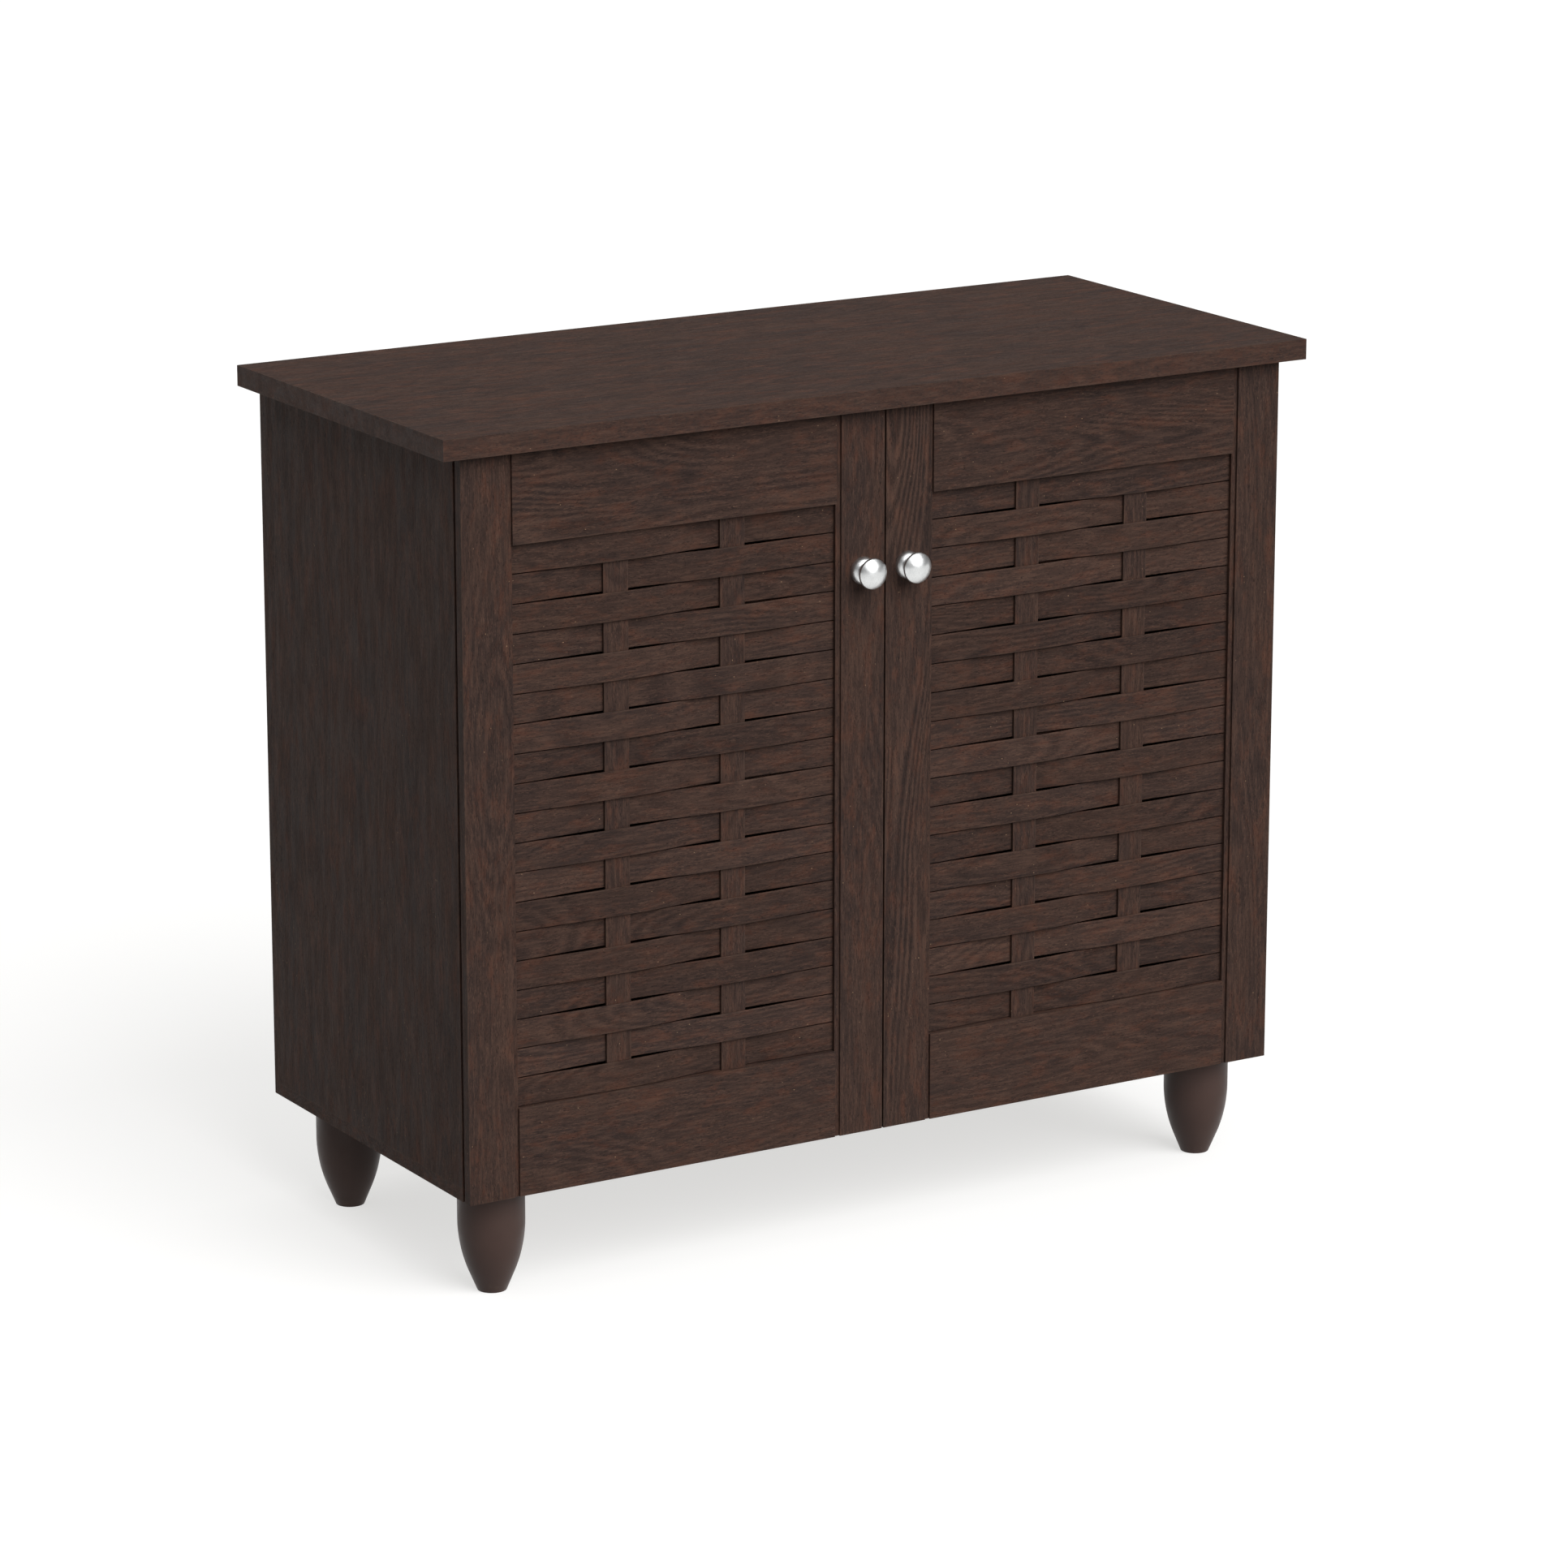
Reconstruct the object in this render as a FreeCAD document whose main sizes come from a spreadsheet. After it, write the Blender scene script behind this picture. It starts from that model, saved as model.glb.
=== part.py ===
import FreeCAD, Part
import os
import re
import Sketcher
from FreeCAD import Placement, Rotation, Vector

# Shoe cabinet: a board carcass on four turned legs, with three shelves and two doors.
# Each door is a frame of stiles and rails round a panel of slats woven over two battens.
# Frame: X to the right, Y to the back, Z up. The origin is on the floor, midway between the sides
# and midway between the knobs' tips and the back. Sizes are in millimetres.

# Driving dimensions: name, value, meaning.
SIZES = (
    ("width", 900, "top panel, side to side"),
    ("depth", 395, "top panel, front to back"),
    ("height", 790, "floor to the top face"),
    ("top_thickness", 19, "top panel"),
    ("board", 12, "sides, bottom, shelves and door frames"),
    ("side_overhang", 22, "top panel past each side"),
    ("front_overhang", 12, "top panel past the door fronts"),
    ("door_reveal", 1.6, "gap between the doors, and above them"),
    ("door_gap", 1.5, "gap between a door's back and the carcass"),
    ("back_thickness", 3, "back panel"),
    ("rebate", 6, "width of the rebate that holds the back panel"),
    ("back_play", 0.2, "gap round the back panel"),
    ("shelf_count", 3, "shelves, evenly spaced"),
    ("shelf_play", 0.5, "gap at each end of a shelf"),
    ("shelf_setback", 6, "shelf front edge behind the carcass front"),
    ("shelf_depth", 350, "shelf, front to back"),
    ("pin_radius", 2.5, "shelf pin"),
    ("pin_bite", 8, "shelf pin, length inside the board and outside it"),
    ("pin_inset", 50, "shelf pin row from the carcass front and back"),
    ("pin_step", 32, "distance between holes in a row"),
    ("hole_play", 0.05, "hole radius past the radius of what it holds"),
    ("leg_height", 99, "leg"),
    ("leg_radius", 30.4, "leg, straight upper part"),
    ("leg_foot_radius", 13.3, "leg, at the floor"),
    ("leg_cone", 18.5, "height of the leg's lower cone"),
    ("leg_bulge_height", 67, "height where the leg's curve meets its straight part"),
    ("leg_bulge_radius", 130, "radius of the leg's curve"),
    ("leg_inset_x", 46, "leg axis inside the side's outer face"),
    ("leg_inset_y", 59, "leg axis inside the top's front and back edges"),
    ("leg_bolt_radius", 4, "leg bolt"),
    ("leg_bolt_bite", 40, "leg bolt, length inside the leg"),
    ("leg_bolt_rise", 12.5, "leg bolt, length above the leg"),
    ("tee_barrel_radius", 5.2, "tee nut, barrel"),
    ("tee_flange_radius", 11, "tee nut, flange"),
    ("tee_flange", 1.5, "tee nut, flange thickness"),
    ("stile", 50.2, "door stile, whole width"),
    ("lip", 5, "stepped lip along a stile's inner edge"),
    ("lip_drop", 2, "lip below the stile's face"),
    ("stile_chamfer", 2.5, "back outer edge, so that the door clears the side as it swings"),
    ("rail", 81.4, "door rail height"),
    ("weave_depth", 6.5, "middle plane of the weave behind the door's front"),
    ("weave_thickness", 2.5, "slats and battens"),
    ("weave_wave", 2.6, "slat's rise and fall about the middle plane"),
    ("slat_rows", 19, "slats in a door"),
    ("slat_gap", 0.9, "gap between slats"),
    ("tongue", 4.5, "length of slats, battens and tenons inside their grooves"),
    ("groove_depth", 5, "groove in a stile, and mortise in a rail"),
    ("groove_play", 0.1, "gap on each side of what sits in a groove"),
    ("batten", 25, "batten width"),
    ("batten_offset", 59, "batten centre from the door's centre"),
    ("knob_height", 624.8, "knob axis above the floor"),
    ("knob_reach", 24, "knob, door front to tip"),
    ("knob_foot_radius", 12.5, "knob, domed foot"),
    ("knob_foot_edge", 1.4, "knob, straight edge of the foot"),
    ("knob_neck_radius", 5, "knob, neck"),
    ("knob_foot_top", 7.5, "knob, height where foot meets neck"),
    ("knob_neck_top", 12, "knob, height where neck meets head"),
    ("knob_head_radius", 14, "knob, head"),
    ("knob_rim_low", 16, "knob, lower edge of the head's rim"),
    ("knob_rim_high", 17.8, "knob, upper edge of the head's rim"),
    ("knob_screw_radius", 2, "knob screw"),
    ("knob_screw_head_radius", 4, "knob screw, head"),
    ("knob_screw_head", 2.4, "knob screw, head thickness"),
    ("knob_screw_bite", 9, "knob screw, length inside the knob"),
    ("knob_screw_room", 1, "knob's threaded hole past the screw's end"),
    ("pivot_x", 6.6, "hinge pivot inside the side's outer face"),
    ("pivot_y", 8.3, "hinge pivot in front of the carcass"),
    ("hinge_spread", 245, "hinge above and below the door's middle"),
    ("cup_x", 16, "cup centre inside the door's outer edge"),
    ("cup_radius", 12.95, "cup, outside"),
    ("cup_depth", 10, "cup, outside"),
    ("cup_wall", 0.7, "cup, wall and floor"),
    ("wing_width", 14, "cup flange, side to side"),
    ("wing_length", 50, "cup flange, height"),
    ("wing_thickness", 0.8, "cup flange"),
    ("wing_screw", 19, "cup screw above and below the hinge's middle"),
    ("cheek_low", 4.4, "cheek that holds the hinge pin, from the hinge's middle"),
    ("cheek_high", 7.2, "cheek's far face, from the hinge's middle"),
    ("cheek_reach", 2.5, "cheek past the pivot, each way"),
    ("hinge_pin_radius", 1, "hinge pin"),
    ("hinge_pin_half", 6.8, "hinge pin, half its length"),
    ("knuckle_radius", 1.9, "arm's knuckle round the pin"),
    ("arm_width", 8, "arm, top to bottom"),
    ("arm_metal", 1.5, "arm, sheet thickness"),
    ("arm_bend", 2.5, "arm, outer bend radius"),
    ("plate_height", 4, "mounting plate, its middle, from the side's inner face"),
    ("plate_wing", 2, "mounting plate, wing thickness"),
    ("plate_front", 20, "mounting plate, front edge behind the carcass front"),
    ("plate_length", 34, "mounting plate, front to back"),
    ("plate_middle_width", 12, "mounting plate, height of its raised middle"),
    ("plate_wing_width", 18, "mounting plate, front to back of its wings"),
    ("plate_span", 44, "mounting plate, top to bottom"),
    ("plate_screw", 16, "plate screw above and below the hinge's middle"),
    ("screw_radius", 1.75, "small screws"),
    ("screw_head_radius", 3.4, "small screws, head"),
    ("screw_head", 1.4, "small screws, head thickness"),
    ("screw_length", 10, "small screws, below the head"),
    ("cup_screw_radius", 1.5, "cup screws"),
    ("cup_screw_head_radius", 2.8, "cup screws, head"),
    ("cup_screw_head", 0.8, "cup screws, head thickness"),
    ("cup_screw_length", 9, "cup screws, below the head"),
    ("side_screw_radius", 2, "screws up through the bottom panel"),
    ("side_screw_head_radius", 4, "the same, head"),
    ("side_screw_head", 3, "the same, countersink depth"),
    ("side_screw_length", 45, "the same, whole length"),
    ("screw_inset", 50, "the same, from the carcass front and back"),
    ("nail_radius", 0.7, "back panel nails"),
    ("nail_head_radius", 1.5, "the same, head"),
    ("nail_head", 0.8, "the same, head depth"),
    ("nail_length", 20, "the same, whole length"),
    ("cam_radius", 5.9, "cam lock"),
    ("cam_length", 9.4, "cam lock"),
    ("cam_drop", 24, "cam lock's centre below the top panel"),
    ("cam_slot_radius", 3.2, "cam lock's way for the bolt, and the bolt's bore"),
    ("cam_cross", 8, "cross recess in the cam lock, across"),
    ("cam_cross_width", 1.2, "cross recess, width and depth"),
    ("cam_inset", 60, "cam lock from the carcass front and back"),
    ("cam_bolt_radius", 2, "cam bolt, shank"),
    ("cam_bolt_thread_radius", 2.5, "cam bolt, thread"),
    ("cam_bolt_thread", 10, "cam bolt, thread length"),
    ("cam_bolt_head_radius", 3, "cam bolt, head"),
    ("cam_bolt_head", 3, "cam bolt, head thickness"),
    ("dowel_radius", 3, "wooden dowel"),
    ("dowel_rise", 12, "wooden dowel, length inside the top panel"),
    ("dowel_drop", 18, "wooden dowel, length inside the side"),
    ("dowel_inset", 100, "wooden dowel from the carcass front and back"),
)

# Places and sizes that follow from the driving dimensions.
DERIVED = {
    "back_y": "(depth + knob_reach - front_overhang) / 2",
    "top_front_y": "back_y - depth",
    "door_front_y": "top_front_y + front_overhang",
    "door_back_y": "door_front_y + board",
    "carcass_y": "door_back_y + door_gap",
    "side_x": "width / 2 - side_overhang",
    "inner_x": "side_x - board",
    "side_mid_x": "side_x - board / 2",
    "top_under_z": "height - top_thickness",
    "inside_floor_z": "leg_height + board",
    "level": "(top_under_z - inside_floor_z - shelf_count * board) / (shelf_count + 1)",
    "door_top_z": "top_under_z - door_reveal",
    "door_mid_z": "(leg_height + door_top_z) / 2",
    "weave_low_z": "leg_height + rail",
    "weave_high_z": "door_top_z - rail",
    "slat_pitch": "(weave_high_z - weave_low_z) / slat_rows",
    "weave_y": "door_front_y + weave_depth",
    "meeting_x": "-door_reveal / 2",
    "door_mid_x": "(meeting_x - side_x) / 2",
    "weave_left_x": "stile - side_x",
    "weave_right_x": "meeting_x - stile",
    "knob_x": "meeting_x - (stile - lip) / 2",
    "hinge_z": "door_mid_z - hinge_spread",
    "pin_x": "pivot_x - side_x",
    "pin_y": "carcass_y - pivot_y",
    "cup_mid_x": "cup_x - side_x",
    "plate_x": "-inner_x",
    "arm_x": "plate_x + plate_height",
    "leg_x": "side_x - leg_inset_x",
    "leg_front_y": "top_front_y + leg_inset_y",
    "leg_back_y": "back_y - leg_inset_y",
}

UP = Vector(0, 0, 1)
LEFT = Vector(-1, 0, 0)
FORWARD = Vector(0, -1, 0)
ACROSS = Vector(1, 0, 0)
CUT_PAST = "1"  # how far a cutter runs past the face that it opens
SIDE_NAILS = 5
BOTTOM_NAILS = 4

doc = FreeCAD.newDocument("shoe_cabinet")
sheet = doc.addObject("Spreadsheet::Sheet", "Sizes")
for row, (alias, size, meaning) in enumerate(SIZES, start=1):
    sheet.set(f"A{row}", alias)
    sheet.set(f"B{row}", str(size))
    sheet.set(f"C{row}", meaning)
    sheet.setAlias(f"B{row}", alias)
doc.recompute()

ALIASES = {alias for alias, size, meaning in SIZES}
nodes = []


# ---- expressions ----


def expression(text):
    """The text with every named size pointed at its cell, and every derived place written out."""

    def swap(match):
        word = match.group(0)
        if word in DERIVED:
            return f"({expression(DERIVED[word])})"
        return f"Sizes.{word}" if word in ALIASES else word

    return re.sub(r"[a-z_]+", swap, text)


def value(text):
    return float(sheet.evalExpression(expression(text)))


def bind(thing, **sizes):
    for name, text in sizes.items():
        thing.setExpression(name, expression(text))


def put(thing, place, axis=UP):
    """Moves a piece to an (x, y, z) of expressions, with its own Z turned to the axis."""
    thing.Placement = Placement(Vector(), Rotation(UP, axis))
    for letter, text in zip("xyz", place):
        thing.setExpression(f"Placement.Base.{letter}", expression(text))
    return thing


# ---- solids and booleans ----


def box(name, x, y, z):
    """A block from the first to the second expression along each axis."""
    block = doc.addObject("Part::Box", name)
    bind(
        block,
        Length=f"{x[1]} - ({x[0]})",
        Width=f"{y[1]} - ({y[0]})",
        Height=f"{z[1]} - ({z[0]})",
    )
    return put(block, (x[0], y[0], z[0]))


def rod(name, radius, length, place=("0", "0", "0"), axis=UP):
    cylinder = doc.addObject("Part::Cylinder", name)
    bind(cylinder, Radius=radius, Height=length)
    return put(cylinder, place, axis)


def fuse(name, pieces):
    joined = doc.addObject("Part::MultiFuse", name)
    joined.Shapes = pieces
    return joined


def common(name, pieces):
    shared = doc.addObject("Part::MultiCommon", name)
    shared.Shapes = pieces
    return shared


def cut(name, base, cutters):
    carved = doc.addObject("Part::Cut", name)
    carved.Base = base
    carved.Tool = cutters[0] if len(cutters) == 1 else fuse(f"{name}_cutters", cutters)
    return carved


def group(name, pieces):
    gathered = doc.addObject("Part::Compound", name)
    gathered.Links = pieces
    return gathered


def mirrored(name, source, normal=ACROSS, z="0"):
    """The source's image in the plane through (0, 0, z) that the normal points out of."""
    image = doc.addObject("Part::Mirroring", name)
    image.Source = source
    image.Normal = normal
    image.setExpression("Base.z", expression(z))
    return image


def copies(name, source, places, axis=UP):
    """The source repeated at each (x, y, z), with its own Z turned to the axis."""
    links = []
    for place in places:
        link = doc.addObject("App::Link", f"{name}_copy")
        link.LinkedObject = source
        link.LinkTransform = True
        links.append(put(link, place, axis))
    return links


def both_hinges(name, lower):
    """A lower hinge's piece with the same piece of the upper hinge."""
    return group(name, [lower, mirrored(f"{name}_upper", lower, UP, "door_mid_z")])


def both_sides(name, left):
    return group(name, [left, mirrored(f"{name}_right", left)])


def node(label, piece):
    """Marks a finished piece of the cabinet, and gives it its name."""
    piece.Label = label
    nodes.append(piece)
    return piece


# ---- sketched bodies ----


def origin_plane(body, role):
    return next(o for o in body.Origin.OriginFeatures if o.Role == role)


def arc_centre(start, end, letter, text):
    """Centre of the arc from start to end, when one of its coordinates is known."""
    known = value(text)
    a, b = (0, 1) if letter == "x" else (1, 0)
    squares = (end[a] - known) ** 2 - (start[a] - known) ** 2 + end[b] ** 2 - start[b] ** 2
    other = squares / (2 * (end[b] - start[b]))
    return Vector(known, other, 0) if letter == "x" else Vector(other, known, 0)


def outline(body, role, corners):
    """A closed sketch on one of the body's origin planes, with every corner fixed by expressions.

    A corner is (x, y), or (x, y, letter, text) where the edge to the next corner is an arc
    whose centre has that x or y.
    """
    sketch = body.newObject("Sketcher::SketchObject", f"{body.Name}_outline")
    sketch.AttachmentSupport = [(origin_plane(body, role), "")]
    sketch.MapMode = "FlatFace"
    points = [Vector(value(corner[0]), value(corner[1]), 0) for corner in corners]
    ends = []
    for index, corner in enumerate(corners):
        start = points[index]
        end = points[(index + 1) % len(points)]
        if len(corner) == 2:
            sketch.addGeometry(Part.LineSegment(start, end), False)
            ends.append((1, 2))
            continue
        centre = arc_centre(start, end, *corner[2:])
        turns_left = (start - centre).cross(end - centre).z > 0
        first, last = (start, end) if turns_left else (end, start)
        circle = Part.Circle(centre, UP, (start - centre).Length)
        arc = Part.ArcOfCircle(circle, circle.parameter(first), circle.parameter(last))
        sketch.addGeometry(arc, False)
        ends.append((1, 2) if turns_left else (2, 1))

    def fix(edge, point, letter, text):
        constraint = Sketcher.Constraint(f"Distance{letter.upper()}", -1, 1, edge, point, value(text))
        number = sketch.addConstraint(constraint)
        sketch.setExpression(f"Constraints[{number}]", expression(text))

    for index, corner in enumerate(corners):
        following = (index + 1) % len(corners)
        joint = Sketcher.Constraint("Coincident", index, ends[index][1], following, ends[following][0])
        sketch.addConstraint(joint)
        fix(index, ends[index][0], "x", corner[0])
        fix(index, ends[index][0], "y", corner[1])
        if len(corner) == 4:
            fix(index, 3, *corner[2:])
    return sketch


def extruded(name, corners, length, z):
    """A plan outline raised from height z by a length."""
    body = doc.addObject("PartDesign::Body", name)
    pad = body.newObject("PartDesign::Pad", f"{name}_pad")
    pad.Profile = outline(body, "XY_Plane", corners)
    bind(pad, Length=length)
    body.Tip = pad
    return put(body, ("0", "0", z))


def revolved(name, corners, place, axis=UP):
    """A profile of (radius, height) corners turned about its own Z."""
    body = doc.addObject("PartDesign::Body", name)
    turning = body.newObject("PartDesign::Revolution", f"{name}_turning")
    profile = outline(body, "XZ_Plane", corners)
    turning.Profile = profile
    turning.ReferenceAxis = (profile, ["V_Axis"])
    turning.Angle = 360
    body.Tip = turning
    return put(body, place, axis)


# ---- fasteners, each along its own Z from its head at 0, and the holes that they sit in ----


def countersunk(name, radius, head_radius, head, length, play="0"):
    cone = doc.addObject("Part::Cone", f"{name}_head")
    bind(cone, Radius1=f"{head_radius} + {play}", Radius2=f"{radius} + {play}", Height=head)
    return fuse(name, [cone, rod(f"{name}_shank", f"{radius} + {play}", f"{length} + {play}")])


def pan_headed(name, radius, head_radius, head, length):
    head_piece = rod(f"{name}_head", head_radius, head, ("0", "0", f"-{head}"))
    return fuse(name, [head_piece, rod(f"{name}_shank", radius, length)])


def inset_rows(inset):
    """The front and back rows at an inset from the carcass's edges."""
    return (f"carcass_y + {inset}", f"back_y - {inset}")


def side_screw_places(x):
    rows = (*inset_rows("screw_inset"), "(carcass_y + back_y) / 2")
    return [(x, y, "leg_height") for y in rows]


def shares(count):
    """The middles of equal shares of a length of 1."""
    return [(index + 0.5) / count for index in range(count)]


def shelf_numbers():
    return range(1, int(value("shelf_count")) + 1)


def shelf_under(number):
    """Height of a shelf's underside, counted from the lowest shelf, number 1."""
    return f"(inside_floor_z + {number} * level + {number - 1} * board)"


def add_carcass_hardware():
    """Fasteners of the carcass. Returns the cutters for the left side, bottom, top and back."""
    side_cutters = []
    bottom_cutters = []
    top_cutters = []

    # screws up through the bottom panel into the sides
    sizes = ("side_screw_radius", "side_screw_head_radius", "side_screw_head", "side_screw_length")
    screw = countersunk("side_screw", *sizes)
    hole = countersunk("side_screw_hole", *sizes, "hole_play")
    left = side_screw_places("-side_mid_x")
    right = side_screw_places("side_mid_x")
    node("carcass_screws", group("carcass_screw_group", copies("carcass_screw", screw, left + right)))
    side_cutters += copies("side_screw_bore", hole, left)
    bottom_cutters += copies("bottom_screw_bore", hole, left + right)

    # nails through the back panel's edge
    sizes = ("nail_radius", "nail_head_radius", "nail_head", "nail_length")
    nail = countersunk("nail", *sizes)
    hole = countersunk("nail_hole", *sizes, "hole_play")
    edge_x = "inner_x + rebate / 2"
    up = [f"inside_floor_z + {share} * (top_under_z - inside_floor_z)" for share in shares(SIDE_NAILS)]
    along = [f"(2 * {share} - 1) * inner_x" for share in shares(BOTTOM_NAILS)]
    left = [(f"-({edge_x})", "back_y", z) for z in up]
    right = [(edge_x, "back_y", z) for z in up]
    low = [(x, "back_y", "inside_floor_z - rebate / 2") for x in along]
    nails = copies("back_nail", nail, left + right + low, FORWARD)
    node("back_nails", group("back_nail_group", nails))
    side_cutters += copies("side_nail_bore", hole, left, FORWARD)
    bottom_cutters += copies("bottom_nail_bore", hole, low, FORWARD)
    back_cutters = copies("back_nail_bore", hole, left + right + low, FORWARD)

    # cam locks in the sides, and their bolts in the top panel
    barrel = rod("cam_barrel", "cam_radius", "cam_length")
    way_start = ("-cam_bolt_head / 2 - hole_play", "0", "cam_length / 2")
    way = rod("cam_way", "cam_slot_radius", "cam_radius + cam_bolt_head", way_start, ACROSS)
    long_way = ("-cam_cross / 2", "cam_cross / 2")
    short_way = ("-cam_cross_width / 2", "cam_cross_width / 2")
    recess = (f"-{CUT_PAST}", "cam_cross_width")
    slots = [box("cam_slot_across", long_way, short_way, recess)]
    slots.append(box("cam_slot_along", short_way, long_way, recess))
    cam = cut("cam_lock", barrel, [way, *slots])
    left = [("-inner_x", y, "top_under_z - cam_drop") for y in inset_rows("cam_inset")]
    node("cam_locks", both_sides("cam_lock_group", group("left_cams", copies("cam", cam, left, LEFT))))
    bore = rod("cam_bore", "cam_radius + hole_play", "cam_length + hole_play")
    side_cutters += copies("side_cam_bore", bore, left, LEFT)

    shank = rod("cam_shank", "cam_bolt_radius", "cam_drop + cam_bolt_head / 2", axis=-UP)
    thread = rod("cam_thread", "cam_bolt_thread_radius", "cam_bolt_thread")
    head_place = ("0", "0", "-cam_drop - cam_bolt_head / 2")
    head = rod("cam_bolt_head_disc", "cam_bolt_head_radius", "cam_bolt_head", head_place)
    bolt = fuse("cam_bolt", [shank, thread, head])
    bolt_x = "inner_x + cam_length / 2"
    left = [(f"-({bolt_x})", y, "top_under_z") for y in inset_rows("cam_inset")]
    right = [(bolt_x, y, "top_under_z") for y in inset_rows("cam_inset")]
    node("cam_bolts", group("cam_bolt_group", copies("bolt", bolt, left + right)))
    bore = rod("cam_bolt_way", "cam_slot_radius", "cam_drop", axis=-UP)
    side_cutters += copies("side_cam_bolt_bore", bore, left)
    bore = rod("cam_thread_bore", "cam_bolt_thread_radius + hole_play", "cam_bolt_thread + hole_play")
    top_cutters += copies("top_cam_bore", bore, left + right)

    # wooden dowels between the sides and the top panel
    dowel_start = ("0", "0", "-dowel_drop")
    dowel = rod("dowel", "dowel_radius", "dowel_drop + dowel_rise", dowel_start)
    left = [("-side_mid_x", y, "top_under_z") for y in inset_rows("dowel_inset")]
    right = [("side_mid_x", y, "top_under_z") for y in inset_rows("dowel_inset")]
    node("wooden_dowels", group("dowel_group", copies("dowel", dowel, left + right)))
    length = "dowel_drop + dowel_rise + 2 * hole_play"
    start = ("0", "0", "-dowel_drop - hole_play")
    bore = rod("dowel_bore", "dowel_radius + hole_play", length, start)
    side_cutters += copies("side_dowel_bore", bore, left)
    top_cutters += copies("top_dowel_bore", bore, left + right)

    # shelf pins, in the middle hole of each row of three
    pin = rod("shelf_pin", "pin_radius", "2 * pin_bite")
    bore = rod("shelf_pin_bore", "pin_radius + hole_play", "pin_bite + hole_play")
    pins = []
    bores = []
    for number in shelf_numbers():
        for y in inset_rows("pin_inset"):
            pins.append(("pin_bite - inner_x", y, f"{shelf_under(number)} - pin_radius"))
            for step in (-1, 0, 1):
                z = f"{shelf_under(number)} - pin_radius + {step} * pin_step"
                bores.append(("-inner_x", y, z))
    left_pins = group("left_shelf_pins", copies("pin", pin, pins, LEFT))
    node("shelf_pins", both_sides("shelf_pin_group", left_pins))
    side_cutters += copies("side_pin_bore", bore, bores, LEFT)

    return side_cutters, bottom_cutters, top_cutters, back_cutters


def add_legs():
    """Four turned legs with their bolts and tee nuts. Returns the cutters for the bottom panel."""
    shoulder_x = "leg_radius - leg_bulge_radius"
    fall = "(leg_bulge_height - leg_cone)"
    cone_radius = f"{shoulder_x} + sqrt(leg_bulge_radius * leg_bulge_radius - {fall} * {fall})"
    bore = "leg_bolt_radius + hole_play"
    bore_end = "leg_height - leg_bolt_bite - hole_play"
    profile = [
        ("0", "0"),
        ("leg_foot_radius", "0"),
        (cone_radius, "leg_cone", "y", "leg_bulge_height"),
        ("leg_radius", "leg_bulge_height"),
        ("leg_radius", "leg_height"),
        (bore, "leg_height"),
        (bore, bore_end),
        ("0", bore_end),
    ]
    places = {
        "front_left_leg": ("-leg_x", "leg_front_y", "0"),
        "front_right_leg": ("leg_x", "leg_front_y", "0"),
        "rear_left_leg": ("-leg_x", "leg_back_y", "0"),
        "rear_right_leg": ("leg_x", "leg_back_y", "0"),
    }
    for label, place in places.items():
        node(label, revolved(f"{label}_body", profile, place))

    start = ("0", "0", "leg_height - leg_bolt_bite")
    bolt = rod("leg_bolt", "leg_bolt_radius", "leg_bolt_bite + leg_bolt_rise", start)
    node("leg_bolts", group("leg_bolt_group", copies("leg_bolt", bolt, places.values())))

    barrel = rod("tee_barrel", "tee_barrel_radius", "board", ("0", "0", "leg_height"))
    flange = rod("tee_flange_disc", "tee_flange_radius", "tee_flange", ("0", "0", "inside_floor_z"))
    hole = rod("tee_hole", bore, "board + 2 * tee_flange", ("0", "0", "leg_height - tee_flange / 2"))
    nut = cut("tee_nut", fuse("tee_nut_blank", [barrel, flange]), [hole])
    node("leg_tee_nuts", group("tee_nut_group", copies("tee_nut", nut, places.values())))

    start = ("0", "0", "leg_height")
    bore = rod("tee_nut_bore", "tee_barrel_radius + hole_play", "board", start)
    return copies("tee_bore", bore, places.values())


def add_carcass(side_cutters, bottom_cutters, top_cutters, back_cutters):
    across = ("-width / 2", "width / 2")
    slab = box("top_slab", across, ("top_front_y", "back_y"), ("top_under_z", "height"))
    node("top_panel", cut("top", slab, top_cutters))

    side = ("-side_x", "-inner_x")
    deep = ("carcass_y", "back_y")
    board = box("side_board", side, deep, ("inside_floor_z", "top_under_z"))
    rebate_x = ("-inner_x - rebate", f"-inner_x + {CUT_PAST}")
    rebate_y = ("back_y - back_thickness", f"back_y + {CUT_PAST}")
    rebate = box("side_rebate", rebate_x, rebate_y, ("inside_floor_z", "top_under_z"))
    left = node("left_side_panel", cut("left_side", board, [rebate, *side_cutters]))
    node("right_side_panel", mirrored("right_side", left))

    board = box("bottom_board", ("-side_x", "side_x"), deep, ("leg_height", "inside_floor_z"))
    rebate_x = ("-inner_x - rebate", "inner_x + rebate")
    rebate_z = ("inside_floor_z - rebate", f"inside_floor_z + {CUT_PAST}")
    rebate = box("bottom_rebate", rebate_x, rebate_y, rebate_z)
    node("bottom_panel", cut("bottom", board, [rebate, *bottom_cutters]))

    sheet_x = ("-inner_x - rebate + back_play", "inner_x + rebate - back_play")
    sheet_z = ("inside_floor_z - rebate + back_play", "top_under_z - back_play")
    board = box("back_sheet", sheet_x, ("back_y - back_thickness", "back_y"), sheet_z)
    node("back_panel", cut("back", board, back_cutters))

    shelf_x = ("shelf_play - inner_x", "inner_x - shelf_play")
    shelf_y = ("carcass_y + shelf_setback", "carcass_y + shelf_setback + shelf_depth")
    for number, name in zip(shelf_numbers(), ("lower", "middle", "upper")):
        under = shelf_under(number)
        node(f"{name}_shelf", box(f"{name}_board", shelf_x, shelf_y, (under, f"{under} + board")))


# ---- hinges: the left door's lower one, its image above, and the right door's images ----


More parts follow.
